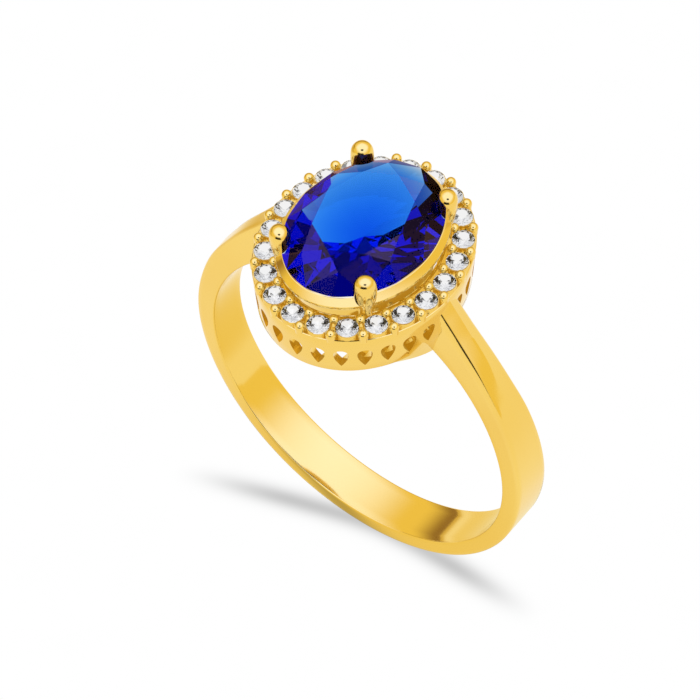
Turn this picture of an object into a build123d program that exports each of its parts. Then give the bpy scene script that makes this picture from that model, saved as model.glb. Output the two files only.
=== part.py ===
from build123d import *
import os
from bisect import bisect_left
from math import cos, hypot, pi, radians, sin

# Ring with an oval centre stone in a pierced halo head. Millimetres.
# Origin: centre of the finger bore. +Y along the bore, +Z towards the stone.

# ---- finger bore and band ----
BORE_R = 9.1
BAND_DEEP_R = 8.7
ROOF_MIN = 0.02
# angle round the bore from +X, side-face thickness, band width, height of the roof ridge
BAND_SECTIONS = [
    (-90, 0.90, 2.56, 0.00),
    (-70, 0.90, 2.54, 0.00),
    (-50, 0.90, 2.48, 0.00),
    (-30, 0.90, 2.38, 0.00),
    (-12, 0.96, 2.29, 0.00),
    (4, 1.08, 2.19, 0.00),
    (18, 1.20, 2.06, 0.00),
    (30, 1.40, 1.88, 0.00),
    (40, 1.55, 1.71, 0.06),
    (49, 1.86, 1.56, 0.14),
    (57, 2.26, 1.46, 0.22),
    (63, 2.74, 1.40, 0.29),
    (67, 3.16, 1.38, 0.33),
]

# ---- halo head ----
HEAD_Z = 9.12
RIM_Z = 11.60
HEAD_FOOT = (4.92, 5.72)
HEAD_RIM = (5.08, 5.86)
WALL = 0.50
PLATE_Z = 11.15
PLATE_INNER = (3.50, 4.38)
LIP_WIDTH = 0.09
LIP_HEIGHT = 0.07
INNER_LIP_HEIGHT = 0.14

# ---- saddle between the head and the finger ----
SADDLE_TOP = (4.82, 5.56)
SADDLE_LOW = (4.60, 3.10)
SADDLE_LOW_Z = 7.55
SADDLE_OPENING = (2.90, 5.90)

# ---- pierced openings of the gallery wall ----
PIERCING_COUNT = 30
PIERCING_SHIFT = 0.27
PIERCING_Z = 10.18
PIERCING_HALF_WIDTH = 0.37
PIERCING_TIP = -0.63
PIERCING_TOP = 0.60

# ---- small halo stones ----
HALO_STONES = 22
HALO_SHIFT = -0.16
HALO_LINE = (4.43, 5.25)
HALO_STONE_R = 0.545
HALO_GIRDLE_Z = 11.85
HALO_CROWN = 0.175
HALO_PAVILION = 0.46
HALO_GIRDLE = 0.03
COLLAR_R = 0.625
COLLAR_Z = 11.79
SEAT_CLEARANCE = 0.008

# ---- grains shared by neighbouring halo stones ----
GRAIN_R = 0.26
GRAIN_OFFSET = 0.45
GRAIN_Z = 11.86
GRAIN_POST_R = 0.23

# ---- centre cup ----
CUP_FOOT = (3.00, 3.75)
CUP_WAIST = (3.36, 4.22)
CUP_WAIST_Z = 11.60
CUP_TOP = (3.52, 4.52)
CUP_TOP_Z = 13.08
CUP_WALL = 0.42
# rail under the stone: half axes and height, from its lower edge to its upper edge
RAIL = [
    ((3.56, 4.52), 12.35),
    ((3.80, 4.81), 12.62),
    ((3.80, 4.81), 12.76),
    ((3.52, 4.52), 13.08),
]

# ---- centre stone ----
STONE_HALF = (3.50, 4.50)
STONE_GIRDLE_Z = 13.15
STONE_GIRDLE = 0.10
STONE_CROWN = 1.05
STONE_PAVILION = 2.25
STONE_TABLE = 0.62
STONE_CLEARANCE = 0.012

# ---- claws ----
CLAW_TOP = (2.54, 3.22)
CLAW_ROOT_RATIO = 0.94
CLAW_ROOT_Z = 9.40
CLAW_TIP_Z = 14.48
CLAW_ROOT_R = 0.33
CLAW_TIP_R = 0.54
CLAW_SWELL_START = 2.70
CLAW_SWELL_END = 3.50

BIG = 40.0


def ellipse_at(half_axes, z):
    """Flat elliptical face at height z."""
    return Pos(0, 0, z) * Ellipse(half_axes[0], half_axes[1])


def oval_taper(low_half, low_z, high_half, high_z):
    """Solid between two ellipses of different size."""
    return loft(Sketch() + [ellipse_at(low_half, low_z), ellipse_at(high_half, high_z)])


def grown(half_axes, by):
    return (half_axes[0] + by, half_axes[1] + by)


def ellipse_arc_points(half_axes, count, shift):
    """Angles of points equally spaced along an ellipse, starting shift pitches past the -Y end."""
    steps = 7200
    a, b = half_axes
    lengths = [0.0]
    for i in range(steps):
        t = -pi / 2 + 2 * pi * (i + 0.5) / steps
        lengths.append(lengths[-1] + hypot(a * sin(t), b * cos(t)) * 2 * pi / steps)
    pitch = lengths[-1] / count
    angles = []
    for k in range(count):
        target = (k + shift) % count * pitch
        index = bisect_left(lengths, target)
        angles.append(-pi / 2 + 2 * pi * index / steps)
    return angles


def outward_plane(half_axes, angle, z):
    """Plane at a point of an ellipse, its Z axis pointing outwards and its Y axis up."""
    a, b = half_axes
    origin = (a * cos(angle), b * sin(angle), z)
    normal = Vector(cos(angle) / a, sin(angle) / b, 0).normalized()
    sideways = Vector(0, 0, 1).cross(normal)
    return Plane(origin=origin, x_dir=sideways, z_dir=normal)


def band_section(angle_deg, thickness, width, roof):
    """House-shaped cross-section of the band at one angle round the bore."""
    t = radians(angle_deg)
    edge = BORE_R + thickness
    ridge = edge + max(roof, ROOF_MIN)
    outline = [
        (BAND_DEEP_R, -width / 2),
        (edge, -width / 2),
        (ridge, 0),
        (edge, width / 2),
        (BAND_DEEP_R, width / 2),
    ]
    points = [(r * cos(t), y, r * sin(t)) for r, y in outline]
    return Face(Wire.make_polygon(points, close=True))


def head_envelope():
    """Everything inside the outer skin of the head, carried on above the rim."""
    wall = oval_taper(HEAD_FOOT, HEAD_Z, HEAD_RIM, RIM_Z)
    above = extrude(ellipse_at(HEAD_RIM, RIM_Z), 2)
    return wall + above


def make_shank():
    """Band, shoulders and the saddle that the head and the cup stand on."""
    right = [band_section(*values) for values in reversed(BAND_SECTIONS)]
    left = [band_section(-180 - values[0], *values[1:]) for values in BAND_SECTIONS[1:]]
    band = Solid.make_loft([face.outer_wire() for face in right + left])
    saddle = oval_taper(SADDLE_LOW, SADDLE_LOW_Z, SADDLE_TOP, HEAD_Z)
    saddle -= extrude(ellipse_at(SADDLE_OPENING, SADDLE_LOW_Z - 1), 4)
    bore = Rot(90, 0, 0) * Cylinder(BORE_R, BIG)
    return band - head_envelope() + saddle - bore


def piercing():
    """Rounded shield outline with its point downwards, as a short bar along Z."""
    w = PIERCING_HALF_WIDTH
    tip = (0, PIERCING_TIP)
    right = [tip, (0.56 * w, PIERCING_TIP * 0.50), (0.92 * w, 0.02), (w, 0.26), (0.74 * w, 0.50)]
    top = (0, PIERCING_TOP)
    left = [(-x, y) for x, y in reversed(right)]
    outline = Wire([Edge.make_spline(right + [top]), Edge.make_spline([top] + left)])
    return extrude(Face(outline), 2, both=True)


def halo_points():
    """(x, y, outward angle) of every halo stone."""
    spots = []
    for angle in ellipse_arc_points(HALO_LINE, HALO_STONES, HALO_SHIFT):
        spots.append((HALO_LINE[0] * cos(angle), HALO_LINE[1] * sin(angle)))
    return spots


def grain_points():
    """(x, y) of the inner and outer grain in every gap between two halo stones."""
    spots = []
    for angle in ellipse_arc_points(HALO_LINE, HALO_STONES, HALO_SHIFT + 0.5):
        plane = outward_plane(HALO_LINE, angle, 0)
        for offset in (-GRAIN_OFFSET, GRAIN_OFFSET):
            point = plane.origin + plane.z_dir * offset
            spots.append((point.X, point.Y))
    return spots


def make_gallery_wall():
    """Tapering oval wall with its row of pierced openings."""
    inner_foot = grown(HEAD_FOOT, -WALL)
    inner_rim = grown(HEAD_RIM, -WALL)
    wall = oval_taper(HEAD_FOOT, HEAD_Z, HEAD_RIM, RIM_Z)
    wall -= oval_taper(inner_foot, HEAD_Z, inner_rim, RIM_Z)
    cutter = piercing()
    middle = grown(HEAD_FOOT, 0.5 * (HEAD_RIM[0] - HEAD_FOOT[0]) - WALL / 2)
    cutters = []
    for angle in ellipse_arc_points(middle, PIERCING_COUNT, PIERCING_SHIFT):
        at = outward_plane(middle, angle, PIERCING_Z)
        cutters.append(at * (Pos(0, 0, 0.4) * cutter))
    window = oval_taper(grown(HEAD_FOOT, 0.6), HEAD_Z, grown(HEAD_RIM, 0.6), RIM_Z)
    window -= extrude(ellipse_at(grown(HEAD_FOOT, -WALL - 0.6), HEAD_Z), RIM_Z - HEAD_Z)
    cutters = [window & bar for bar in cutters]
    return wall - cutters


def make_halo_plate(wires):
    """Stone channel with raised lips, seat collars and grains, clear of the claw wires."""
    outer_low = grown(HEAD_RIM, -0.05)
    plate = oval_taper(outer_low, PLATE_Z, HEAD_RIM, RIM_Z)
    outer_lip = extrude(ellipse_at(grown(HEAD_RIM, 0), RIM_Z), LIP_HEIGHT)
    outer_lip -= extrude(ellipse_at(grown(HEAD_RIM, -LIP_WIDTH), RIM_Z), LIP_HEIGHT)
    inner_lip = extrude(ellipse_at(grown(PLATE_INNER, LIP_WIDTH), RIM_Z), INNER_LIP_HEIGHT)
    plate = plate + outer_lip + inner_lip
    keep_clear = [extrude(ellipse_at(PLATE_INNER, PLATE_Z - 1), 3)] + wires
    plate -= keep_clear
    skin = extrude(ellipse_at(HEAD_RIM, PLATE_Z), 2)
    raised = []
    for x, y in halo_points():
        height = COLLAR_Z - RIM_Z + 0.1
        collar = Pos(x, y, COLLAR_Z - height / 2) * Cylinder(COLLAR_R, height)
        raised.append((collar & skin) - keep_clear)
    for x, y in grain_points():
        height = GRAIN_Z - PLATE_Z - 0.1
        post = Pos(x, y, GRAIN_Z - height / 2) * Cylinder(GRAIN_POST_R, height)
        post += Pos(x, y, GRAIN_Z) * Sphere(GRAIN_R)
        raised.append(post - keep_clear)
    return plate + raised


def seat_cutter():
    """Room for one halo stone: its girdle, its crown and a reamed seat below."""
    radius = HALO_STONE_R + SEAT_CLEARANCE
    low = HALO_GIRDLE_Z - SEAT_CLEARANCE
    top = extrude(Pos(0, 0, low) * Circle(radius), 0.6)
    depth = low - PLATE_Z + 0.05
    seat = Pos(0, 0, low - depth / 2) * Cone(0.20, radius, depth)
    return top + seat


def make_halo_frame(wires):
    """Gallery wall and halo plate in one casting, with the seats and claw slots cut."""
    frame = make_gallery_wall() + make_halo_plate(wires)
    seats = []
    for x, y in halo_points():
        seats.append(Pos(x, y, 0) * seat_cutter())
    return frame - seats


def stone_envelope():
    """Slightly enlarged stone used to cut its bed in the cup and the claws."""
    gap = STONE_CLEARANCE
    girdle_low = STONE_GIRDLE_Z - gap
    girdle_high = STONE_GIRDLE_Z + STONE_GIRDLE + gap
    size = grown(STONE_HALF, gap)
    table = (STONE_HALF[0] * STONE_TABLE + gap, STONE_HALF[1] * STONE_TABLE + gap)
    pavilion = oval_taper((0.05, 0.06), girdle_low - STONE_PAVILION, size, girdle_low)
    girdle = oval_taper(size, girdle_low, size, girdle_high)
    crown = oval_taper(size, girdle_high, table, girdle_high + STONE_CROWN)
    return pavilion + girdle + crown


def cup_body():
    """Outer shape of the collet: tapering foot, wall and the rail under the stone."""
    body = oval_taper(CUP_FOOT, HEAD_Z, CUP_WAIST, CUP_WAIST_Z)
    body += oval_taper(CUP_WAIST, CUP_WAIST_Z, *RAIL[0])
    for low, high in zip(RAIL, RAIL[1:]):
        body += oval_taper(*low, *high)
    return body


def make_cup():
    """Tapering oval collet with a bed for the centre stone."""
    inner_top = grown(CUP_TOP, -CUP_WALL)
    inner_foot = grown(CUP_FOOT, -CUP_WALL)
    cup = cup_body() - oval_taper(inner_foot, HEAD_Z, inner_top, CUP_TOP_Z)
    return cup - stone_envelope()


def make_claw_wire():
    """Round wire of one claw, leaning outwards and swelling into a domed head."""
    height = CLAW_TIP_Z - CLAW_ROOT_Z
    swell = CLAW_SWELL_END - CLAW_SWELL_START
    barrel = height - CLAW_TIP_R - CLAW_SWELL_END
    root = Pos(0, 0, CLAW_SWELL_START / 2) * Cylinder(CLAW_ROOT_R, CLAW_SWELL_START)
    cone = Pos(0, 0, CLAW_SWELL_START + swell / 2) * Cone(CLAW_ROOT_R, CLAW_TIP_R, swell)
    bulb = Pos(0, 0, CLAW_SWELL_END + barrel / 2) * Cylinder(CLAW_TIP_R, barrel)
    dome = Pos(0, 0, CLAW_SWELL_END + barrel) * Sphere(CLAW_TIP_R)
    wire = root + cone + bulb + dome
    top = Vector(CLAW_TOP[0], -CLAW_TOP[1], CLAW_TIP_Z)
    foot = Vector(top.X * CLAW_ROOT_RATIO, top.Y * CLAW_ROOT_RATIO, CLAW_ROOT_Z)
    return Plane(origin=foot, z_dir=(top - foot).normalized()) * wire


def four_corners(front_right):
    """The same piece at all four claw corners, from the front right one."""
    front_left = mirror(front_right, Plane.YZ)
    half_turn = Rot(0, 0, 180)
    return {
        "front_right": front_right,
        "front_left": front_left,
        "back_right": half_turn * front_left,
        "back_left": half_turn * front_right,
    }


def facet_cut(stone, half_axes, base_z, azimuth_deg, first, second):
    """Cut one facet through two (reach, height) points seen along its azimuth."""
    azimuth = radians(azimuth_deg)
    (r1, z1), (r2, z2) = first, second
    normal_r = abs(z1 - z2)
    normal_z = (r1 - r2) if z2 > z1 else -(r1 - r2)
    nx = normal_r * cos(azimuth) / half_axes[0]
    ny = normal_r * sin(azimuth) / half_axes[1]
    origin = (
        r1 * cos(azimuth) * half_axes[0],
        r1 * sin(azimuth) * half_axes[1],
        base_z + z1,
    )
    plane = Plane(origin=origin, z_dir=Vector(nx, ny, normal_z).normalized())
    return stone.split(plane, keep=Keep.BOTTOM)


def make_brilliant(half_axes, girdle_z, girdle, crown, pavilion, table):
    """Brilliant cut with 8 mains, 8 stars and 16 halves above, 8 mains and 16 halves below."""
    half = cos(radians(22.5))
    quarter = cos(radians(11.25))
    total = crown + girdle + pavilion
    blank = extrude(ellipse_at(half_axes, girdle_z - pavilion), total)
    stone = blank.solid()
    star_reach = 0.5 * (1 + table * half) + 0.02
    star_z = crown * (1 - star_reach * half) / (1 - table)
    lower_reach = 0.25
    lower_z = pavilion * (1 - lower_reach * half)
    top = girdle_z + girdle
    for k in range(8):
        az = 45 * k
        stone = facet_cut(stone, half_axes, top, az, (1, 0), (table, crown))
        stone = facet_cut(stone, half_axes, girdle_z, az, (1, 0), (0, -pavilion))
        star = ((star_reach, star_z), (table * half, crown))
        stone = facet_cut(stone, half_axes, top, az + 22.5, *star)
        for turn in (11.25, 33.75):
            upper = ((quarter, 0), (star_reach * quarter, star_z))
            stone = facet_cut(stone, half_axes, top, az + turn, *upper)
            lower = ((quarter, 0), (lower_reach * quarter, -lower_z))
            stone = facet_cut(stone, half_axes, girdle_z, az + turn, *lower)
    return stone


def make_centre_stone():
    sizes = (STONE_GIRDLE, STONE_CROWN, STONE_PAVILION, STONE_TABLE)
    return make_brilliant(STONE_HALF, STONE_GIRDLE_Z, *sizes)


def make_halo_stone():
    sizes = (HALO_GIRDLE, HALO_CROWN, HALO_PAVILION, 0.56)
    return make_brilliant((HALO_STONE_R, HALO_STONE_R), HALO_GIRDLE_Z, *sizes)


def build_parts():
    wire = make_claw_wire()
    claw = wire - cup_body() - stone_envelope()
    parts = {
        "shank": make_shank(),
        "halo_frame": make_halo_frame(list(four_corners(wire).values())),
        "centre_cup": make_cup(),
        "centre_stone": make_centre_stone(),
    }
    for corner, shape in four_corners(claw).items():
        parts[f"claw_{corner}"] = shape
    halo_stone = make_halo_stone()
    for number, (x, y) in enumerate(halo_points(), start=1):
        parts[f"halo_stone_{number:02d}"] = Pos(x, y, 0) * halo_stone
    return parts


os.makedirs("parts", exist_ok=True)
for name, shape in build_parts().items():
    export_step(shape, f"parts/{name}.step")
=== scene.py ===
import bmesh
import bpy
from bisect import bisect_left
from math import cos, hypot, pi, radians, sin
from mathutils import Matrix, Vector


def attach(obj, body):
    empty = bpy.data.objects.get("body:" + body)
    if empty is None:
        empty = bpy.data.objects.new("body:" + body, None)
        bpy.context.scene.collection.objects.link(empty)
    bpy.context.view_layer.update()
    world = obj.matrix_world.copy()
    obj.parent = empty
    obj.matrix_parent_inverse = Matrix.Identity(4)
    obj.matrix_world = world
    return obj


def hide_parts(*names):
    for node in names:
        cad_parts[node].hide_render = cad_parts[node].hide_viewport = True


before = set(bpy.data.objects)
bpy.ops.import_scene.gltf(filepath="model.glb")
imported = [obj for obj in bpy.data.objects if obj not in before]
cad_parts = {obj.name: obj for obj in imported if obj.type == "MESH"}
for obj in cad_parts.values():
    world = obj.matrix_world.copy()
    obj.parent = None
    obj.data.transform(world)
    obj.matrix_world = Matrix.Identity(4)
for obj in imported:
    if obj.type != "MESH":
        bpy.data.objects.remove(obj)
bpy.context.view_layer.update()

# Sizes in millimetres, converted to metres when a mesh is made.
MM = 0.001

# ---- camera and table ----
CAMERA_AZIMUTH = 38.46
CAMERA_ELEVATION = 53.81
CAMERA_ROLL = -1.47
CAMERA_DISTANCE = 165.37
CAMERA_LENS = 168.4
CAMERA_SENSOR = 36.0
AIM_RIGHT = -0.912
AIM_UP = 2.120
NEAREST_SEEN = 0.01  # metres
FARTHEST_SEEN = 10.0  # metres
FLOOR_Z = -10.02
TABLE_HALF_SIZE = 3.0  # metres

# ---- band ----
BORE_R = 9.1
BAND_EDGE_ROUND = 0.07
CORNER_ROUNDNESS = 0.35
SHOULDER_CHAMFER = 0.17
CHAMFER_START = 18
CHAMFER_FULL = 58
BAND_INNER_ROUND = 0.09
BAND_END_ANGLE = 69
BAND_STEPS = 460
# angle round the bore from +X, side-face thickness, width, height of the roof ridge
BAND_SECTIONS = [
    (-90, 0.90, 2.56, 0.00),
    (-70, 0.90, 2.54, 0.00),
    (-50, 0.90, 2.48, 0.00),
    (-30, 0.90, 2.38, 0.00),
    (-12, 0.96, 2.29, 0.00),
    (4, 1.08, 2.19, 0.00),
    (18, 1.20, 2.06, 0.01),
    (30, 1.40, 1.88, 0.04),
    (40, 1.55, 1.71, 0.09),
    (49, 1.86, 1.56, 0.16),
    (57, 2.26, 1.46, 0.23),
    (63, 2.74, 1.40, 0.29),
    (67, 3.16, 1.38, 0.33),
]
# points along the bore line, each rounded corner, the side face and half of the roof
BORE_LINE_STEPS = 6
CORNER_STEPS = 4
SIDE_FACE_STEPS = 4
ROOF_STEPS = 5

# ---- head ----
HEAD_Z = 9.12
RIM_Z = 11.60
HEAD_FOOT = (4.92, 5.72)
HEAD_RIM = (5.08, 5.86)
WALL = 0.50
WALL_EDGE = 0.05
FOOT_EDGE = 0.015
# bead on the rim and lip round the inner opening: distance from the edge, rise above RIM_Z
RIM_BEAD = [(0.015, 0.005), (0.05, 0.03), (0.09, 0.02), (0.13, 0.00)]
INNER_LIP = [(0.16, 0.00), (0.11, 0.10), (0.07, 0.14), (0.03, 0.13), (0.00, 0.08)]
PLATE_Z = 11.15
PLATE_INNER = (3.50, 4.38)
# the band is cut off by the head's outer shape, made slightly smaller and taller than the wall
HEAD_CUT_TOP_Z = 14
HEAD_CUT_SHARE = 0.995
SADDLE_TOP = (4.82, 5.56)
SADDLE_LOW = (4.60, 3.10)
SADDLE_LOW_Z = 7.55
SADDLE_OPENING = (2.90, 5.90)
SADDLE_OPENING_Z = (5, 11)
SADDLE_STEPS = 12
BORE_CUT_Y = (-8, 8)
BORE_CUT_STEPS = 720
PIERCING_COUNT = 30
PIERCING_SHIFT = 0.27
PIERCING_Z = 10.18
PIERCING_LINE_INSET = 0.13
PIERCING_HALF_WIDTH = 0.37
PIERCING_TIP = -0.63
PIERCING_TOP = 0.60
# right half of a piercing: share of the half width and share of the tip's depth, then height
PIERCING_POINT = [(0.26, 0.78), (0.56, 0.48), (0.82, 0.16)]
PIERCING_SHOULDER = [(0.97, 0.12), (1.00, 0.26), (0.94, 0.38), (0.78, 0.48), (0.50, 0.56), (0.22, 0.595)]
PIERCING_REACH = (-0.5, 0.7)

# ---- halo stones and grains ----
HALO_STONES = 22
HALO_SHIFT = -0.16
HALO_LINE = (4.43, 5.25)
HALO_STONE_R = 0.545
HALO_GIRDLE_Z = 11.85
HALO_CROWN = 0.175
HALO_PAVILION = 0.46
HALO_GIRDLE = 0.03
HALO_TABLE = 0.56
HALO_TURN = 137.5
HALO_GIRDLE_STEPS = 64
SEAT_PLAY = 0.01
SEAT_POINT = (0.20, -0.80)  # radius, height from the girdle
SEAT_TOP = 0.6
SEAT_STEPS = 48
COLLAR_LOW_Z = RIM_Z - 0.15
COLLAR_TOP_Z = HALO_GIRDLE_Z - 0.02
# cross-section of a collar round a small stone: radius and height
COLLAR_PROFILE = [
    (0.60, COLLAR_LOW_Z),
    (0.59, COLLAR_TOP_Z - 0.04),
    (0.58, COLLAR_TOP_Z),
    (0.56, COLLAR_TOP_Z),
    (0.552, COLLAR_LOW_Z),
]
COLLAR_STEPS = 64
GRAIN_R = 0.26
GRAIN_OFFSET = 0.45
GRAIN_Z = 11.86
GRAIN_POST_R = 0.23
GRAIN_NECK = (0.94, -0.15)  # share of GRAIN_R, height from the middle of the grain
GRAIN_POST_Z = -0.40
GRAIN_ROWS = 12
GRAIN_STEPS = 36

# ---- cup, centre stone and claws ----
CUP_FOOT = (3.00, 3.75)
CUP_WALL = 0.42
CUP_LIP = (-0.03, 0.01)  # growth and rise of the last ring before the bed
CUP_BED_DROP = 0.42
# outer shape of the cup from its foot to its top edge: half axes and height
CUP_PROFILE = [
    (CUP_FOOT, HEAD_Z),
    ((3.36, 4.22), 11.60),
    ((3.48, 4.38), 12.10),
    ((3.56, 4.52), 12.35),
    ((3.74, 4.74), 12.555),
    ((3.785, 4.795), 12.61),
    ((3.80, 4.81), 12.66),
    ((3.80, 4.81), 12.72),
    ((3.79, 4.80), 12.77),
    ((3.54, 4.55), 13.04),
    ((3.52, 4.52), 13.07),
]
STONE_HALF = (3.50, 4.50)
STONE_GIRDLE_Z = 13.15
STONE_GIRDLE = 0.10
STONE_CROWN = 1.05
STONE_PAVILION = 2.25
STONE_TABLE = 0.62
STONE_GIRDLE_STEPS = 192
STAR_OVERLAP = 0.02
LOWER_FACET_REACH = 0.25
CLAW_TOP = (2.54, 3.22)
CLAW_ROOT_RATIO = 0.94
CLAW_ROOT_Z = 9.40
CLAW_TIP_Z = 14.48
# shape of a claw: share of its height, half width across, half depth
CLAW_STAGES = [
    (0.0, 0.30, 0.30),
    (0.50, 0.33, 0.33),
    (0.60, 0.42, 0.38),
    (0.68, 0.52, 0.46),
    (0.76, 0.56, 0.50),
    (0.84, 0.57, 0.52),
    (0.90, 0.55, 0.51),
    (0.94, 0.49, 0.46),
    (0.975, 0.36, 0.34),
    (0.992, 0.21, 0.20),
    (1.0, 0.07, 0.07),
]
CLAW_STAGE_STEPS = 5
CLAW_STEPS = 48
CLAW_SIDES = {"front_left": (-1, -1), "front_right": (1, -1), "back_left": (-1, 1), "back_right": (1, 1)}

ROUND_STEPS = 360
ARC_STEPS = 7200

# ---- angles in degrees beyond which an edge is shaded sharp ----
BAND_SHARP = 40
SADDLE_SHARP = 35
WALL_SHARP = 30
COLLAR_SHARP = 40
GRAIN_SHARP = 60
CUP_SHARP = 12
CLAW_SHARP = 50

# ---- colours of the metal ----
POLISHED_DEEP = (0.905, 0.600, 0.125)
POLISHED_BRIGHT = (0.935, 0.650, 0.155)
# a darker, rougher copy of the gold, used only for the collars round the small stones
DARKER_ROUGH_DEEP = (0.880, 0.560, 0.100)
DARKER_ROUGH_BRIGHT = (0.930, 0.630, 0.140)
GOLD_DRIFT_SCALE = 140.0
GOLD_DRIFT_STOPS = (0.3, 0.7)
GOLD_HAZE_SCALE = 900.0
GOLD_HAZE_SPREAD = (0.75, 1.25)
GOLD_WAVE_DEPTH = 0.00002  # metres
SEEN_THROUGH_STONE = (0.90, 0.90, 0.90)
GOLD_IN_GOLD = (0.90, 0.76, 0.38)
DEEP_INSIDE = (0.62, 0.54, 0.30)
DEEP_INSIDE_BOUNCES = 2.5

# ---- colours of the stones ----
DARK = (0.02, 0.02, 0.025)
WHITE = (1.0, 1.0, 1.0)
SAPPHIRE_IOR = 1.60
SAPPHIRE_BODY = (0.02, 0.60, 0.965)
SAPPHIRE_DENSITY = 1700.0
SAPPHIRE_SEED = 3.0
# painted light and shade of the blue stone: one brightness and tint drawn for each facet
SAPPHIRE_ENTRY = [(0.0, (0.25, 0.22, 0.42)), (0.5, (0.55, 0.55, 0.7)), (1.0, WHITE)]
SAPPHIRE_CROWN = [
    (0.0, (0.01, 0.01, 0.02)),
    (0.35, (0.02, 0.02, 0.05)),
    (0.50, (0.25, 0.25, 0.35)),
    (0.70, (0.6, 0.6, 0.7)),
    (0.80, (1.3, 1.3, 1.3)),
]
SAPPHIRE_TABLE_SHINE = (0.03, 0.10, 0.25)
SAPPHIRE_CROWN_SHINE = [
    (0.0, (0.02, 0.02, 0.03)),
    (0.35, (0.30, 0.13, 0.11)),
    (0.65, (0.05, 0.04, 0.06)),
    (1.0, (0.9, 0.5, 0.5)),
]
CLEAR_IOR = 1.80
CLEAR_SEED = 5.0
# painted light and shade of the clear stones: one brightness drawn for each facet
CLEAR_ENTRY = [(0.0, (0.8, 0.8, 0.82)), (0.4, WHITE)]
CLEAR_CROWN = [(0.0, (0.35, 0.36, 0.38)), (0.4, (0.9, 0.9, 0.9)), (1.0, WHITE)]
CLEAR_TABLE_SHINE = (0.9, 0.75, 0.36)
CLEAR_CROWN_SHINE = [(0.0, (0.2, 0.2, 0.1)), (1.0, (1.0, 0.8, 0.4))]
CLOUD_SCALE = 260.0
CLOUD_TINT = (0.96, 0.97, 1.0)
# upward share of a facet's direction: below the first it is an upper facet seen from inside,
# above the second it is the table seen from outside
UNDER_CROWN = -0.1
ON_TABLE = 0.97
# directions are rounded to this step; the shift keeps upright and level facets off a rounding edge
FACET_STEP = 0.03
FACET_SHIFT = (0.0137, 0.0091, 0.0173)
SECOND_DRAW = 7.0

# ---- table surface ----
PAPER_GRAIN_SCALE = 400.0
PAPER_GRAIN_DEPTH = 0.01
PAPER_LEVEL = 0.995
WARM_TABLE = (0.93, 0.85, 0.50)
WARM_TABLE_REACH = (0.016, 0.005)  # metres from the ring's axis
FAR_LEFT_TABLE = (0.76, 0.62, 0.26)
FAR_LEFT_START = (0.020, 0.060)  # metres
# soft shadow streak: line across the table in mm, bending to the front where X is below SHADOW_BEND
SHADOW_LINE = -0.50
SHADOW_SLOPE = 0.175
SHADOW_BEND = 1.5
SHADOW_BEND_EASE = 4.0
SHADOW_DEPTH = 0.42
SHADOW_WIDTH = 0.65
SHADOW_LEFT_END = (-10.0, -3.5)
SHADOW_RIGHT_END = (11.6, 5.5)

# ---- studio light, as the metal mirrors it and as the stones refract it ----
SKY_TINT = (1.15, 1.37, 2.95)
WARM_HORIZON = (0.94, 0.83, 0.38)
SKY_HEIGHTS = (0.30, 0.84)
FRONT_RIGHT = (0.7, -0.7, 0)
FRONT_RIGHT_SHARE = 0.25
BROWN_CORNER = (0.30, 0.20, 0.10)
BACK_LEFT = (-0.87, 0.5, 0)
BROWN_WIDTH = (0.4, 0.8)
BROWN_HEIGHTS = (0.42, 0.04)
DARK_STRIP_SIDE = (0.406, -0.914, 0)
DARK_STRIP_WIDTH = (0.82, 0.90)
DARK_STRIP_HEIGHTS = (0.38, 0.28)
MIRRORED_VIEWER = (0.955, 0.985)
REFRACTED_VIEWER = (0.86, 0.93)


# ======================= mesh helpers =======================

def smooth(obj, sharp_angle):
    """Shade smooth, except across edges sharper than the angle."""
    for face in obj.data.polygons:
        face.use_smooth = True
    obj.data.set_sharp_from_angle(angle=radians(sharp_angle))


def new_object(name, mesh, sharp_angle=None):
    obj = bpy.data.objects.new(name, mesh)
    bpy.context.scene.collection.objects.link(obj)
    if sharp_angle is not None:
        smooth(obj, sharp_angle)
    return obj


def mesh_from_rings(name, rings, closed=True):
    """Mesh through rings of points in mm. A closed one joins its last ring to its first."""
    bm = bmesh.new()
    rows = [[bm.verts.new(Vector(p) * MM) for p in ring] for ring in rings]
    count = len(rows[0])
    pairs = list(zip(rows, rows[1:]))
    if closed:
        pairs.append((rows[-1], rows[0]))
    for low, high in pairs:
        for i in range(count):
            j = (i + 1) % count
            bm.faces.new((low[i], low[j], high[j], high[i]))
    if not closed:
        bm.faces.new(rows[0])
        bm.faces.new(rows[-1][::-1])
    bmesh.ops.recalc_face_normals(bm, faces=bm.faces)
    mesh = bpy.data.meshes.new(name)
    bm.to_mesh(mesh)
    bm.free()
    return mesh


def oval_ring(half_axes, z, steps=ROUND_STEPS):
    a, b = half_axes
    return [(a * cos(2 * pi * i / steps), b * sin(2 * pi * i / steps), z) for i in range(steps)]


def round_ring(radius, z, steps):
    return oval_ring((radius, radius), z, steps)


def grown(half_axes, by):
    return (half_axes[0] + by, half_axes[1] + by)


def between(first, second, t):
    """Point a share t of the way from the first pair to the second."""
    return tuple(p + (q - p) * t for p, q in zip(first, second))


def cut_away(obj, cutter_mesh):
    """Cut a mesh out of an object for good."""
    cutter = new_object("cut", cutter_mesh)
    modifier = obj.modifiers.new("cut", "BOOLEAN")
    modifier.operation = "DIFFERENCE"
    modifier.solver = "EXACT"
    modifier.object = cutter
    bpy.context.view_layer.update()
    graph = bpy.context.evaluated_depsgraph_get()
    result = bpy.data.meshes.new_from_object(obj.evaluated_get(graph))
    obj.modifiers.clear()
    obj.data = result
    bpy.data.objects.remove(cutter)


def copies(name, mesh, places):
    """One mesh out of many copies of another, each moved by a matrix."""
    bm = bmesh.new()
    for place in places:
        part = bmesh.new()
        part.from_mesh(mesh)
        part.transform(place)
        placed = bpy.data.meshes.new("placed")
        part.to_mesh(placed)
        part.free()
        bm.from_mesh(placed)
        bpy.data.meshes.remove(placed)
    joined = bpy.data.meshes.new(name)
    bm.to_mesh(joined)
    bm.free()
    return joined


def moved_to(x, y, z):
    return Matrix.Translation(Vector((x, y, z)) * MM)


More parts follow.
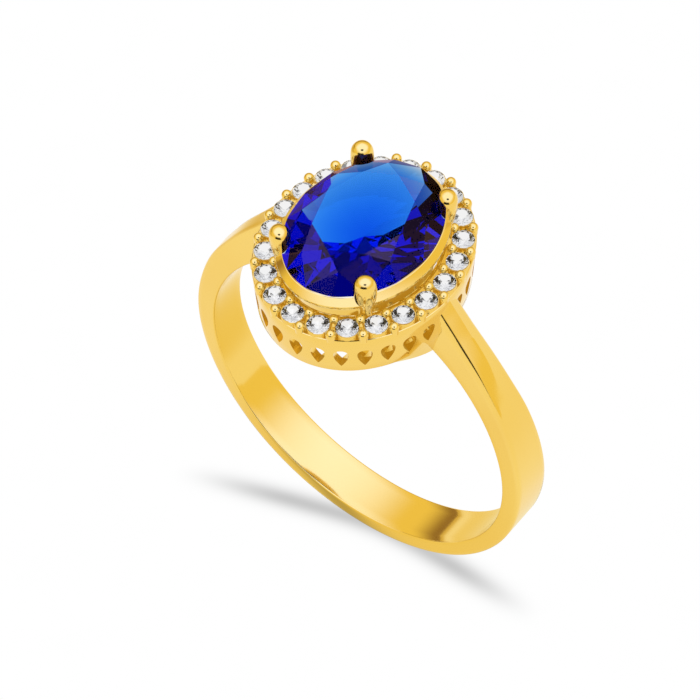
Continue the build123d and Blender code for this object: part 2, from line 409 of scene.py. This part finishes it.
def ellipse_arc_points(half_axes, count, shift):
    """Angles of points equally spaced along an ellipse, starting shift pitches past the -Y end."""
    a, b = half_axes
    step = 2 * pi / ARC_STEPS
    lengths = [0.0]
    for i in range(ARC_STEPS):
        t = -pi / 2 + step * (i + 0.5)
        lengths.append(lengths[-1] + hypot(a * sin(t), b * cos(t)) * step)
    pitch = lengths[-1] / count
    angles = []
    for k in range(count):
        index = bisect_left(lengths, (k + shift) % count * pitch)
        angles.append(-pi / 2 + step * index)
    return angles


def outward_matrix(half_axes, angle, z):
    """Place on an ellipse: local X along it, local Y up, local Z outwards."""
    a, b = half_axes
    outward = Vector((cos(angle) / a, sin(angle) / b, 0)).normalized()
    up = Vector((0, 0, 1))
    sideways = up.cross(outward)
    turn = Matrix((sideways, up, outward)).transposed().to_4x4()
    return moved_to(a * cos(angle), b * sin(angle), z) @ turn


# ======================= node helpers =======================

def new_material(name):
    material = bpy.data.materials.new(name)
    material.use_nodes = True
    tree = material.node_tree
    tree.nodes.clear()
    return material, tree


def add(tree, kind, **settings):
    node = tree.nodes.new(kind)
    for key, value in settings.items():
        setattr(node, key, value)
    return node


def link_or_set(tree, socket, value):
    """Feed a socket from another socket, a colour or a number."""
    if isinstance(value, tuple):
        socket.default_value = (*value, 1)
    elif isinstance(value, (int, float)):
        socket.default_value = value
    else:
        tree.links.new(value, socket)


def arithmetic(tree, operation, first, second=0.0):
    node = add(tree, "ShaderNodeMath", operation=operation)
    link_or_set(tree, node.inputs[0], first)
    link_or_set(tree, node.inputs[1], second)
    return node.outputs[0]


def plus(tree, first, second):
    return arithmetic(tree, "ADD", first, second)


def minus(tree, first, second):
    return arithmetic(tree, "SUBTRACT", first, second)


def times(tree, first, second):
    return arithmetic(tree, "MULTIPLY", first, second)


def above(tree, value, limit):
    return arithmetic(tree, "GREATER_THAN", value, limit)


def fade(tree, value, start_end):
    """Smooth step from 0 at the start to 1 at the end."""
    node = add(tree, "ShaderNodeMapRange", interpolation_type="SMOOTHSTEP")
    node.inputs["From Min"].default_value = start_end[0]
    node.inputs["From Max"].default_value = start_end[1]
    tree.links.new(value, node.inputs["Value"])
    return node.outputs["Result"]


def blend(tree, amount, first, second, blend_type="MIX"):
    """Mix two colours, each a tuple or a socket."""
    node = add(tree, "ShaderNodeMix", data_type="RGBA", blend_type=blend_type)
    link_or_set(tree, node.inputs["Factor"], amount)
    link_or_set(tree, node.inputs[6], first)
    link_or_set(tree, node.inputs[7], second)
    return node.outputs[2]


def colour_steps(tree, value, stops):
    """Colour ramp through (position, colour) stops."""
    ramp = add(tree, "ShaderNodeValToRGB")
    elements = ramp.color_ramp.elements
    while len(elements) < len(stops):
        elements.new(0.5)
    for element, (position, colour) in zip(elements, stops):
        element.position = position
        element.color = (*colour, 1)
    tree.links.new(value, ramp.inputs["Fac"])
    return ramp.outputs["Color"]


def noise(tree, place, scale, detail=2.0):
    node = add(tree, "ShaderNodeTexNoise")
    node.inputs["Scale"].default_value = scale
    node.inputs["Detail"].default_value = detail
    tree.links.new(place, node.inputs["Vector"])
    return node.outputs["Fac"]


def toward(tree, direction, axis):
    """How closely a direction points along an axis, from -1 to 1."""
    node = add(tree, "ShaderNodeVectorMath", operation="DOT_PRODUCT")
    node.inputs[1].default_value = axis
    tree.links.new(direction, node.inputs[0])
    return node.outputs["Value"]


def choose(tree, amount, first, second):
    """Mix two shaders."""
    node = add(tree, "ShaderNodeMixShader")
    tree.links.new(amount, node.inputs["Fac"])
    tree.links.new(first, node.inputs[1])
    tree.links.new(second, node.inputs[2])
    return node.outputs["Shader"]


def glow(tree, colour):
    node = add(tree, "ShaderNodeEmission")
    link_or_set(tree, node.inputs["Color"], colour)
    return node.outputs["Emission"]


# ======================= materials =======================

def gold_material(name, deep, bright, roughness, bump):
    """Polished yellow gold: faint colour drift, fine polishing haze and a very slight waviness.

    Stones see it as an even pale glow, other gold sees it slightly paler, and light that has
    bounced several times meets one constant tone.
    """
    material, tree = new_material(name)
    link = tree.links.new
    place = add(tree, "ShaderNodeTexCoord").outputs["Object"]
    ray = add(tree, "ShaderNodeLightPath")
    low_stop, high_stop = GOLD_DRIFT_STOPS
    drift = noise(tree, place, GOLD_DRIFT_SCALE)
    tone = colour_steps(tree, drift, [(low_stop, deep), (high_stop, bright)])
    second_hand = above(tree, ray.outputs["Ray Depth"], 0.5)
    tone = blend(tree, second_hand, tone, GOLD_IN_GOLD)

    haze = noise(tree, place, GOLD_HAZE_SCALE, 5.0)
    spread = add(tree, "ShaderNodeMapRange")
    spread.inputs["To Min"].default_value = roughness * GOLD_HAZE_SPREAD[0]
    spread.inputs["To Max"].default_value = roughness * GOLD_HAZE_SPREAD[1]
    link(haze, spread.inputs["Value"])
    wave = add(tree, "ShaderNodeBump")
    wave.inputs["Strength"].default_value = bump
    wave.inputs["Distance"].default_value = GOLD_WAVE_DEPTH
    link(haze, wave.inputs["Height"])

    metal = add(tree, "ShaderNodeBsdfPrincipled")
    metal.inputs["Metallic"].default_value = 1.0
    link(tone, metal.inputs["Base Color"])
    link(spread.outputs["Result"], metal.inputs["Roughness"])
    link(wave.outputs["Normal"], metal.inputs["Normal"])
    deep_inside = above(tree, ray.outputs["Ray Depth"], DEEP_INSIDE_BOUNCES)
    surface = choose(tree, deep_inside, metal.outputs["BSDF"], glow(tree, DEEP_INSIDE))
    through_stone = ray.outputs["Is Transmission Ray"]
    surface = choose(tree, through_stone, surface, glow(tree, SEEN_THROUGH_STONE))
    out = add(tree, "ShaderNodeOutputMaterial")
    link(surface, out.inputs["Surface"])
    return material


def facet_draw(tree, normal, seed):
    """A number between 0 and 1 that is the same all over one flat facet."""
    shift = add(tree, "ShaderNodeVectorMath", operation="ADD")
    shift.inputs[1].default_value = FACET_SHIFT
    tree.links.new(normal, shift.inputs[0])
    snap = add(tree, "ShaderNodeVectorMath", operation="SNAP")
    snap.inputs[1].default_value = (FACET_STEP, FACET_STEP, FACET_STEP)
    tree.links.new(shift.outputs["Vector"], snap.inputs[0])
    draw = add(tree, "ShaderNodeTexWhiteNoise", noise_dimensions="4D")
    draw.inputs["W"].default_value = seed
    tree.links.new(snap.outputs["Vector"], draw.inputs["Vector"])
    return draw.outputs["Value"]


def clear_cut(tree, kind, colour, ior=None):
    """Perfectly smooth refracting or mirroring surface."""
    node = add(tree, kind)
    node.inputs["Roughness"].default_value = 0.0
    if ior is not None:
        node.inputs["IOR"].default_value = ior
    tree.links.new(colour, node.inputs["Color"])
    return node.outputs["BSDF"]


def gem_material(name, ior, seed, entry, crown, table_shine, crown_shine):
    """Clear faceted stone.

    entry and crown: ramps of painted light and shade for the upper facets seen from outside and
    from inside, one drawn for each facet in place of the bright and dark reflections of a cut stone.
    table_shine and crown_shine: what the outside of the facets mirrors.
    """
    material, tree = new_material(name)
    facing = add(tree, "ShaderNodeNewGeometry")
    normal = facing.outputs["True Normal"]
    upward = toward(tree, normal, (0, 0, 1))
    draw = facet_draw(tree, normal, seed)
    on_table = above(tree, upward, ON_TABLE)
    fresnel = add(tree, "ShaderNodeFresnel")
    fresnel.inputs["IOR"].default_value = ior
    share_mirrored = fresnel.outputs["Fac"]

    # painted light and shade on each upper facet seen from inside, the other facets left white
    under_crown = arithmetic(tree, "LESS_THAN", upward, UNDER_CROWN)
    inner = blend(tree, under_crown, WHITE, colour_steps(tree, draw, crown))
    leaving = clear_cut(tree, "ShaderNodeBsdfRefraction", inner, ior)
    held_in = clear_cut(tree, "ShaderNodeBsdfGlossy", inner)
    inside = choose(tree, above(tree, share_mirrored, 0.5), leaving, held_in)

    place = add(tree, "ShaderNodeTexCoord").outputs["Object"]
    cloud = colour_steps(tree, noise(tree, place, CLOUD_SCALE), [(0.0, CLOUD_TINT), (1.0, WHITE)])
    second_draw = facet_draw(tree, normal, seed + SECOND_DRAW)
    # painted light and shade on each facet seen from outside, the table left white
    through = blend(tree, on_table, colour_steps(tree, second_draw, entry), WHITE)
    through = blend(tree, 1.0, cloud, through, "MULTIPLY")
    entering = clear_cut(tree, "ShaderNodeBsdfRefraction", through, ior)
    shine = blend(tree, on_table, colour_steps(tree, draw, crown_shine), table_shine)
    mirror = clear_cut(tree, "ShaderNodeBsdfGlossy", shine)
    outside = choose(tree, share_mirrored, entering, mirror)

    out = add(tree, "ShaderNodeOutputMaterial")
    surface = choose(tree, facing.outputs["Backfacing"], outside, inside)
    tree.links.new(surface, out.inputs["Surface"])
    return material


def colour_body(material, colour, density):
    """Colour a stone by how far light travels inside it."""
    tree = material.node_tree
    body = add(tree, "ShaderNodeVolumeAbsorption")
    body.inputs["Color"].default_value = (*colour, 1)
    body.inputs["Density"].default_value = density
    out = next(node for node in tree.nodes if node.bl_idname == "ShaderNodeOutputMaterial")
    tree.links.new(body.outputs["Volume"], out.inputs["Volume"])


def shadow_streak(tree, place):
    """Darkness of the soft streak under the band, from its distance to a bent line."""
    millimetres = 1 / MM
    x = times(tree, toward(tree, place, (1, 0, 0)), millimetres)
    y = times(tree, toward(tree, place, (0, 1, 0)), millimetres)
    from_bend = minus(tree, SHADOW_BEND, x)
    eased = plus(tree, times(tree, from_bend, from_bend), SHADOW_BEND_EASE)
    eased = arithmetic(tree, "SQRT", eased)
    drop = times(tree, plus(tree, from_bend, eased), SHADOW_SLOPE)
    off_line = plus(tree, minus(tree, y, SHADOW_LINE), drop)
    off_line = arithmetic(tree, "DIVIDE", off_line, SHADOW_WIDTH)
    spread = times(tree, off_line, off_line)
    profile = arithmetic(tree, "EXPONENT", times(tree, spread, -1.0))
    ends = times(tree, fade(tree, x, SHADOW_LEFT_END), fade(tree, x, SHADOW_RIGHT_END))
    return times(tree, times(tree, profile, ends), SHADOW_DEPTH)


def table_material():
    """Evenly lit white table with a soft shadow streak under the band.

    Metal sees the part next to the ring slightly warm, as gold throws its colour on white,
    and the part far back on the left as a darker warm tone.
    """
    material, tree = new_material("white_table")
    place = add(tree, "ShaderNodeTexCoord").outputs["Object"]
    grain = times(tree, noise(tree, place, PAPER_GRAIN_SCALE), PAPER_GRAIN_DEPTH)
    level = minus(tree, plus(tree, grain, PAPER_LEVEL), shadow_streak(tree, place))
    paper = add(tree, "ShaderNodeCombineColor")
    for socket in paper.inputs[:3]:
        tree.links.new(level, socket)

    ray = add(tree, "ShaderNodeLightPath")
    mirrored = minus(tree, 1.0, ray.outputs["Is Transmission Ray"])
    mirrored = times(tree, mirrored, ray.outputs["Is Glossy Ray"])
    distance = add(tree, "ShaderNodeVectorMath", operation="LENGTH")
    tree.links.new(place, distance.inputs[0])
    near = times(tree, fade(tree, distance.outputs["Value"], WARM_TABLE_REACH), mirrored)
    colour = blend(tree, near, paper.outputs["Color"], WARM_TABLE, "MULTIPLY")
    far_left = fade(tree, toward(tree, place, BACK_LEFT), FAR_LEFT_START)
    colour = blend(tree, times(tree, far_left, mirrored), colour, FAR_LEFT_TABLE)
    out = add(tree, "ShaderNodeOutputMaterial")
    tree.links.new(glow(tree, colour), out.inputs["Surface"])
    return material


# ======================= metal pieces =======================

def band_at(angle_deg):
    """Thickness, width and roof height at an angle, smoothly between the listed sections."""
    table = BAND_SECTIONS
    angle = min(max(angle_deg, table[0][0]), table[-1][0])
    for k in range(len(table) - 1):
        if angle <= table[k + 1][0]:
            break
    before = table[max(k - 1, 0)]
    here, there = table[k], table[k + 1]
    after = table[min(k + 2, len(table) - 1)]
    step = there[0] - here[0]
    t = (angle - here[0]) / step
    values = []
    for i in (1, 2, 3):
        slope_here = (there[i] - before[i]) / (there[0] - before[0]) * step
        slope_there = (after[i] - here[i]) / (after[0] - here[0]) * step
        if k == 0:
            slope_here = 0.0
        h00 = 2 * t**3 - 3 * t**2 + 1
        h10 = t**3 - 2 * t**2 + t
        h01 = -2 * t**3 + 3 * t**2
        h11 = t**3 - t**2
        values.append(h00 * here[i] + h10 * slope_here + h01 * there[i] + h11 * slope_there)
    return values


def edge_size(angle_deg):
    """Size of the softened outer edges: a chamfer that grows up the shoulders."""
    share = (angle_deg - CHAMFER_START) / (CHAMFER_FULL - CHAMFER_START)
    share = min(max(share, 0.0), 1.0)
    return BAND_EDGE_ROUND + (SHOULDER_CHAMFER - BAND_EDGE_ROUND) * share


def band_outline(thickness, width, roof, corner):
    """House-shaped cross-section (radius, y) with softened corners, going once round."""
    edge = BORE_R + thickness
    half = width / 2
    inner = BAND_INNER_ROUND
    bore_width = 2 * half - 2 * inner
    outline = []
    for s in range(BORE_LINE_STEPS, 0, -1):
        outline.append((BORE_R, -half + inner + bore_width * s / BORE_LINE_STEPS))
    for s in range(CORNER_STEPS + 1):
        t = pi / 2 * s / CORNER_STEPS
        outline.append((BORE_R + inner * (1 - cos(t)), -half + inner * (1 - sin(t))))
    for s in range(1, SIDE_FACE_STEPS):
        outline.append((BORE_R + inner + (thickness - corner - inner) * s / SIDE_FACE_STEPS, -half))
    for s in range(CORNER_STEPS + 1):
        share = s / CORNER_STEPS
        t = pi / 2 * share
        up, along = between((share, share), (sin(t), 1 - cos(t)), CORNER_ROUNDNESS)
        outline.append((edge - corner * (1 - up), -half + corner * along))
    flat = half - corner
    for s in range(1, ROOF_STEPS + 1):
        outline.append((edge + roof * s / ROOF_STEPS, -flat + flat * s / ROOF_STEPS))
    # the bore line and the ridge are shared by both halves
    other_half = [(r, -y) for r, y in reversed(outline[BORE_LINE_STEPS:-1])]
    return outline + other_half


def build_band():
    """Band from shoulder to shoulder, cut off where the head begins."""
    rings = []
    for i in range(BAND_STEPS + 1):
        angle = BAND_END_ANGLE - (BAND_END_ANGLE * 2 + 180) * i / BAND_STEPS
        same_side = angle if angle >= -90 else -180 - angle
        t = radians(angle)
        outline = band_outline(*band_at(same_side), edge_size(same_side))
        rings.append([(r * cos(t), y, r * sin(t)) for r, y in outline])
    band = new_object("band", mesh_from_rings("band", rings, closed=False))
    head = [oval_ring(HEAD_FOOT, HEAD_Z), oval_ring(HEAD_RIM, RIM_Z), oval_ring(HEAD_RIM, HEAD_CUT_TOP_Z)]
    head = [[(x * HEAD_CUT_SHARE, y * HEAD_CUT_SHARE, z) for x, y, z in ring] for ring in head]
    cut_away(band, mesh_from_rings("cut", head, closed=False))
    smooth(band, BAND_SHARP)
    return band


def build_saddle():
    """Oval block that closes the band under the head, cut by the bore and the stone's opening."""
    rings = []
    for s in range(SADDLE_STEPS + 1):
        t = s / SADDLE_STEPS
        z = SADDLE_LOW_Z + (HEAD_Z - SADDLE_LOW_Z) * t
        rings.append(oval_ring(between(SADDLE_LOW, SADDLE_TOP, t), z))
    saddle = new_object("saddle", mesh_from_rings("saddle", rings, closed=False))
    opening = [oval_ring(SADDLE_OPENING, z) for z in SADDLE_OPENING_Z]
    cut_away(saddle, mesh_from_rings("cut", opening, closed=False))
    bore = []
    for y in BORE_CUT_Y:
        circle = round_ring(BORE_R, y, BORE_CUT_STEPS)
        bore.append([(x, along, z) for x, z, along in circle])
    cut_away(saddle, mesh_from_rings("cut", bore, closed=False))
    smooth(saddle, SADDLE_SHARP)
    return saddle


def piercing_outline():
    """Rounded shield with its point down."""
    w = PIERCING_HALF_WIDTH
    right = [(x * w, PIERCING_TIP * depth) for x, depth in PIERCING_POINT]
    right += [(x * w, y) for x, y in PIERCING_SHOULDER]
    left = [(-x, y) for x, y in reversed(right)]
    return [(0, PIERCING_TIP)] + right + [(0, PIERCING_TOP)] + left


def wall_rings():
    """Cross-section of the wall, the plate and their lips, as ovals going once round it."""
    foot_in = grown(HEAD_FOOT, -WALL)
    straight = RIM_Z - HEAD_Z - 2 * WALL_EDGE
    rings = []
    for t in (0.0, 0.25, 0.5, 0.75, 1.0):
        rings.append(oval_ring(between(HEAD_FOOT, HEAD_RIM, t), HEAD_Z + WALL_EDGE + straight * t))
    rings += [oval_ring(grown(HEAD_RIM, -inset), RIM_Z + rise) for inset, rise in RIM_BEAD]
    rings += [oval_ring(grown(PLATE_INNER, inset), RIM_Z + rise) for inset, rise in INNER_LIP]
    rings.append(oval_ring(PLATE_INNER, PLATE_Z))
    rings.append(oval_ring(grown(HEAD_RIM, -WALL), PLATE_Z))
    rings.append(oval_ring(foot_in, HEAD_Z + WALL_EDGE))
    rings.append(oval_ring(grown(foot_in, WALL_EDGE), HEAD_Z))
    rings.append(oval_ring(grown(HEAD_FOOT, -WALL_EDGE), HEAD_Z))
    rings.append(oval_ring(grown(HEAD_FOOT, -FOOT_EDGE), HEAD_Z + FOOT_EDGE))
    return rings


def build_wall():
    """Gallery wall, halo plate and lips as one oval turning, then pierced and given seats."""
    wall = new_object("gallery_wall", mesh_from_rings("gallery_wall", wall_rings()))
    shape = [[(x, y, z) for x, y in piercing_outline()] for z in PIERCING_REACH]
    piercing = mesh_from_rings("piercing", shape, closed=False)
    middle = grown(HEAD_FOOT, -PIERCING_LINE_INSET)
    angles = ellipse_arc_points(middle, PIERCING_COUNT, PIERCING_SHIFT)
    places = [outward_matrix(middle, angle, PIERCING_Z) for angle in angles]
    cut_away(wall, copies("cut", piercing, places))
    seat_r = HALO_STONE_R + SEAT_PLAY
    profile = [SEAT_POINT, (seat_r, -SEAT_PLAY), (seat_r, SEAT_TOP)]
    rings = [round_ring(radius, z, SEAT_STEPS) for radius, z in profile]
    seat = mesh_from_rings("seat", rings, closed=False)
    places = [moved_to(x, y, HALO_GIRDLE_Z) for x, y in halo_points()]
    cut_away(wall, copies("cut", seat, places))
    smooth(wall, WALL_SHARP)
    return wall


def halo_points():
    angles = ellipse_arc_points(HALO_LINE, HALO_STONES, HALO_SHIFT)
    return [(HALO_LINE[0] * cos(angle), HALO_LINE[1] * sin(angle)) for angle in angles]


def build_collars():
    """Thin collar round every small stone, up to its girdle."""
    rings = [round_ring(radius, z, COLLAR_STEPS) for radius, z in COLLAR_PROFILE]
    collar = mesh_from_rings("collar", rings)
    places = [moved_to(x, y, 0) for x, y in halo_points()]
    return new_object("stone_collars", copies("stone_collars", collar, places), COLLAR_SHARP)


def build_grains():
    """Round-topped grains, one inside and one outside every gap between two small stones."""
    rings = []
    for k in range(1, GRAIN_ROWS + 1):
        t = pi / 2 * k / GRAIN_ROWS
        rings.append(round_ring(GRAIN_R * sin(t), GRAIN_R * cos(t), GRAIN_STEPS))
    neck_share, neck_z = GRAIN_NECK
    rings.append(round_ring(GRAIN_R * neck_share, neck_z, GRAIN_STEPS))
    rings.append(round_ring(GRAIN_POST_R, GRAIN_POST_Z, GRAIN_STEPS))
    grain = mesh_from_rings("grain", rings, closed=False)
    places = []
    for angle in ellipse_arc_points(HALO_LINE, HALO_STONES, HALO_SHIFT + 0.5):
        for offset in (-GRAIN_OFFSET, GRAIN_OFFSET):
            spot = outward_matrix(HALO_LINE, angle, GRAIN_Z) @ Vector((0, 0, offset * MM))
            places.append(Matrix.Translation(spot))
    return new_object("grains", copies("grains", grain, places), GRAIN_SHARP)


def build_cup():
    """Oval collet: tapering wall, a rail under the stone and a sloping bed inside."""
    rings = [oval_ring(half_axes, z) for half_axes, z in CUP_PROFILE]
    top, top_z = CUP_PROFILE[-1]
    lip_growth, lip_rise = CUP_LIP
    rings.append(oval_ring(grown(top, lip_growth), top_z + lip_rise))
    rings.append(oval_ring(grown(top, -CUP_WALL), top_z - CUP_BED_DROP))
    rings.append(oval_ring(grown(CUP_FOOT, -CUP_WALL), HEAD_Z))
    return new_object("cup", mesh_from_rings("cup", rings), CUP_SHARP)


def smooth_stages(stages, steps):
    """Catmull-Rom curve through the stages, with some steps between each two of them."""
    fine = []
    for k in range(len(stages) - 1):
        p0 = stages[max(k - 1, 0)]
        p1, p2 = stages[k], stages[k + 1]
        p3 = stages[min(k + 2, len(stages) - 1)]
        for s in range(steps):
            t = s / steps
            values = []
            for a, b, c, d in zip(p0, p1, p2, p3):
                square = (2 * a - 5 * b + 4 * c - d) * t**2
                cube = (3 * b - a - 3 * c + d) * t**3
                values.append(0.5 * (2 * b + (c - a) * t + square + cube))
            fine.append(tuple(values))
    fine.append(stages[-1])
    return fine


def claw_mesh(name, side_x, side_y):
    """Claw that swells upwards into a rounded head, leaning slightly outwards as it rises."""
    top = Vector((side_x * CLAW_TOP[0], side_y * CLAW_TOP[1], CLAW_TIP_Z))
    foot = Vector((top.x * CLAW_ROOT_RATIO, top.y * CLAW_ROOT_RATIO, CLAW_ROOT_Z))
    inward = Vector((-top.x, -top.y, 0)).normalized()
    across = Vector((0, 0, 1)).cross(inward)
    rings = []
    for share, wide, deep in smooth_stages(CLAW_STAGES, CLAW_STAGE_STEPS):
        centre = foot.lerp(top, share)
        ring = []
        for i in range(CLAW_STEPS):
            t = 2 * pi * i / CLAW_STEPS
            ring.append(centre + across * (wide * cos(t)) + inward * (deep * sin(t)))
        rings.append(ring)
    return mesh_from_rings(name, rings, closed=False)


# ======================= stones =======================

def cut_facet(bm, half_axes, base_z, azimuth_deg, first, second):
    """Cut one flat facet through two points (share of the half axes, height above base_z)."""
    azimuth = radians(azimuth_deg)
    (r1, z1), (r2, z2) = first, second
    a, b = half_axes
    normal_r = abs(z1 - z2)
    normal_z = (r1 - r2) if z2 > z1 else -(r1 - r2)
    normal = Vector((normal_r * cos(azimuth) / a, normal_r * sin(azimuth) / b, normal_z)).normalized()
    spot = Vector((r1 * cos(azimuth) * a, r1 * sin(azimuth) * b, base_z + z1))
    geometry = bm.verts[:] + bm.edges[:] + bm.faces[:]
    cut = bmesh.ops.bisect_plane(bm, geom=geometry, dist=1e-5, plane_co=spot, plane_no=normal,
                                 clear_outer=True)
    edges = [e for e in cut["geom_cut"] if isinstance(e, bmesh.types.BMEdge)]
    bmesh.ops.holes_fill(bm, edges=edges, sides=0)


def brilliant_mesh(name, half_axes, girdle_z, girdle, crown, pavilion, table, steps):
    """Brilliant cut with 8 main facets above and below, 8 star facets and 16 + 16 girdle facets."""
    half = cos(radians(22.5))
    quarter = cos(radians(11.25))
    top = girdle_z + girdle
    bm = bmesh.new()
    rows = [[bm.verts.new(p) for p in oval_ring(half_axes, z, steps)]
            for z in (girdle_z - pavilion, top + crown)]
    for i in range(steps):
        j = (i + 1) % steps
        bm.faces.new((rows[0][i], rows[0][j], rows[1][j], rows[1][i]))
    bm.faces.new(rows[0][::-1])
    bm.faces.new(rows[1])
    star_reach = 0.5 * (1 + table * half) + STAR_OVERLAP
    star = (star_reach, crown * (1 - star_reach * half) / (1 - table))
    lower_z = pavilion * (1 - LOWER_FACET_REACH * half)
    for k in range(8):
        az = 45 * k
        cut_facet(bm, half_axes, top, az, (1, 0), (table, crown))
        cut_facet(bm, half_axes, girdle_z, az, (1, 0), (0, -pavilion))
        cut_facet(bm, half_axes, top, az + 22.5, star, (table * half, crown))
        for turn in (11.25, 33.75):
            cut_facet(bm, half_axes, top, az + turn, (quarter, 0), (star[0] * quarter, star[1]))
            cut_facet(bm, half_axes, girdle_z, az + turn, (quarter, 0),
                      (LOWER_FACET_REACH * quarter, -lower_z))
    bmesh.ops.recalc_face_normals(bm, faces=bm.faces)
    bmesh.ops.scale(bm, vec=(MM, MM, MM), verts=bm.verts)
    mesh = bpy.data.meshes.new(name)
    bm.to_mesh(mesh)
    bm.free()
    return mesh


# ======================= put together =======================

def finish_piece(obj, material, node):
    obj.data.materials.clear()
    obj.data.materials.append(material)
    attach(obj, "root")
    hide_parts(node)


def build_metalwork(gold, darker_rough_gold):
    finish_piece(build_band(), gold, "shank")
    finish_piece(build_saddle(), gold, "shank")
    finish_piece(build_wall(), gold, "halo_frame")
    finish_piece(build_collars(), darker_rough_gold, "halo_frame")
    finish_piece(build_grains(), gold, "halo_frame")
    finish_piece(build_cup(), gold, "centre_cup")


def build_centre_stone(sapphire):
    mesh = brilliant_mesh("oval_stone", STONE_HALF, STONE_GIRDLE_Z, STONE_GIRDLE, STONE_CROWN,
                          STONE_PAVILION, STONE_TABLE, STONE_GIRDLE_STEPS)
    stone = new_object("oval_stone", mesh)
    finish_piece(stone, sapphire, "centre_stone")
    return stone


def build_claws(gold, stone):
    """Four claws, each cut to the shape of the stone it holds."""
    for name, (side_x, side_y) in CLAW_SIDES.items():
        claw = new_object(f"claw_{name}_wire", claw_mesh(f"claw_{name}_wire", side_x, side_y))
        cut_away(claw, stone.data.copy())
        smooth(claw, CLAW_SHARP)
        finish_piece(claw, gold, f"claw_{name}")


def build_small_stones(diamond):
    """Small stones of one shape, each turned by a different angle in its seat."""
    small = brilliant_mesh("small_stone", (HALO_STONE_R, HALO_STONE_R), 0.0, HALO_GIRDLE, HALO_CROWN,
                           HALO_PAVILION, HALO_TABLE, HALO_GIRDLE_STEPS)
    for number, (x, y) in enumerate(halo_points(), start=1):
        gem = new_object(f"small_stone_{number:02d}", small.copy())
        turn = Matrix.Rotation(radians(HALO_TURN * number), 4, "Z")
        gem.data.transform(moved_to(x, y, HALO_GIRDLE_Z) @ turn)
        finish_piece(gem, diamond, f"halo_stone_{number:02d}")


def build_ring():
    gold = gold_material("polished_gold", POLISHED_DEEP, POLISHED_BRIGHT, 0.10, 0.06)
    darker_rough_gold = gold_material("darker_rough_gold", DARKER_ROUGH_DEEP, DARKER_ROUGH_BRIGHT, 0.16, 0.25)
    sapphire = gem_material("blue_stone", SAPPHIRE_IOR, SAPPHIRE_SEED, SAPPHIRE_ENTRY, SAPPHIRE_CROWN,
                            SAPPHIRE_TABLE_SHINE, SAPPHIRE_CROWN_SHINE)
    colour_body(sapphire, SAPPHIRE_BODY, SAPPHIRE_DENSITY)
    diamond = gem_material("clear_stone", CLEAR_IOR, CLEAR_SEED, CLEAR_ENTRY, CLEAR_CROWN,
                           CLEAR_TABLE_SHINE, CLEAR_CROWN_SHINE)
    build_metalwork(gold, darker_rough_gold)
    stone = build_centre_stone(sapphire)
    build_claws(gold, stone)
    build_small_stones(diamond)


def camera_axes():
    a, e, r = radians(CAMERA_AZIMUTH), radians(CAMERA_ELEVATION), radians(CAMERA_ROLL)
    back = Vector((sin(a) * cos(e), -cos(a) * cos(e), sin(e)))
    level = Vector((cos(a), sin(a), 0))
    up = back.cross(level)
    right = level * cos(r) + up * sin(r)
    return right, -level * sin(r) + up * cos(r), back


def build_camera():
    right, up, back = camera_axes()
    camera = bpy.data.objects.new("camera", bpy.data.cameras.new("camera"))
    bpy.context.scene.collection.objects.link(camera)
    camera.data.sensor_width = CAMERA_SENSOR
    camera.data.lens = CAMERA_LENS
    camera.data.clip_start = NEAREST_SEEN
    camera.data.clip_end = FARTHEST_SEEN
    spot = back * CAMERA_DISTANCE
    aim = right * AIM_RIGHT + up * AIM_UP
    z_axis = (spot - aim).normalized()
    x_axis = up.cross(z_axis).normalized()
    y_axis = z_axis.cross(x_axis)
    turn = Matrix((x_axis, y_axis, z_axis)).transposed().to_4x4()
    camera.matrix_world = Matrix.Translation(spot * MM) @ turn
    bpy.context.scene.camera = camera


def build_table():
    mesh = bpy.data.meshes.new("table")
    size = TABLE_HALF_SIZE
    corners = [(-size, -size, 0), (size, -size, 0), (size, size, 0), (-size, size, 0)]
    mesh.from_pydata(corners, [], [(0, 1, 2, 3)])
    table = new_object("table", mesh)
    table.location.z = FLOOR_Z * MM
    table.data.materials.append(table_material())


def build_world():
    """White dome. Metal mirrors a warm horizon, a cool bright sky and some dark places in it;
    light through a stone sees white, with dark round the viewer and low in front."""
    world = bpy.data.worlds.new("studio")
    bpy.context.scene.world = world
    world.use_nodes = True
    tree = world.node_tree
    tree.nodes.clear()
    ray = add(tree, "ShaderNodeLightPath")
    direction = add(tree, "ShaderNodeTexCoord").outputs["Generated"]
    height = toward(tree, direction, (0, 0, 1))
    viewer = toward(tree, direction, camera_axes()[2])
    dark_strip = times(tree, fade(tree, toward(tree, direction, DARK_STRIP_SIDE), DARK_STRIP_WIDTH),
                       fade(tree, height, DARK_STRIP_HEIGHTS))
    brown = times(tree, fade(tree, toward(tree, direction, BACK_LEFT), BROWN_WIDTH),
                  fade(tree, height, BROWN_HEIGHTS))
    front_right = times(tree, toward(tree, direction, FRONT_RIGHT), FRONT_RIGHT_SHARE)
    brightness = plus(tree, height, front_right)

    mirrored = blend(tree, fade(tree, brightness, SKY_HEIGHTS), WARM_HORIZON, SKY_TINT)
    mirrored = blend(tree, brown, mirrored, BROWN_CORNER)
    mirrored = blend(tree, dark_strip, mirrored, DARK)
    mirrored = blend(tree, fade(tree, viewer, MIRRORED_VIEWER), mirrored, DARK)
    refracted = blend(tree, fade(tree, viewer, REFRACTED_VIEWER), WHITE, DARK)
    refracted = blend(tree, dark_strip, refracted, DARK)
    colour = blend(tree, ray.outputs["Is Transmission Ray"], mirrored, refracted)
    colour = blend(tree, ray.outputs["Is Camera Ray"], colour, WHITE)

    light = add(tree, "ShaderNodeBackground")
    tree.links.new(colour, light.inputs["Color"])
    out = add(tree, "ShaderNodeOutputWorld")
    tree.links.new(light.outputs["Background"], out.inputs["Surface"])


build_ring()
build_camera()
build_table()
build_world()
bpy.context.scene.view_settings.view_transform = "Standard"
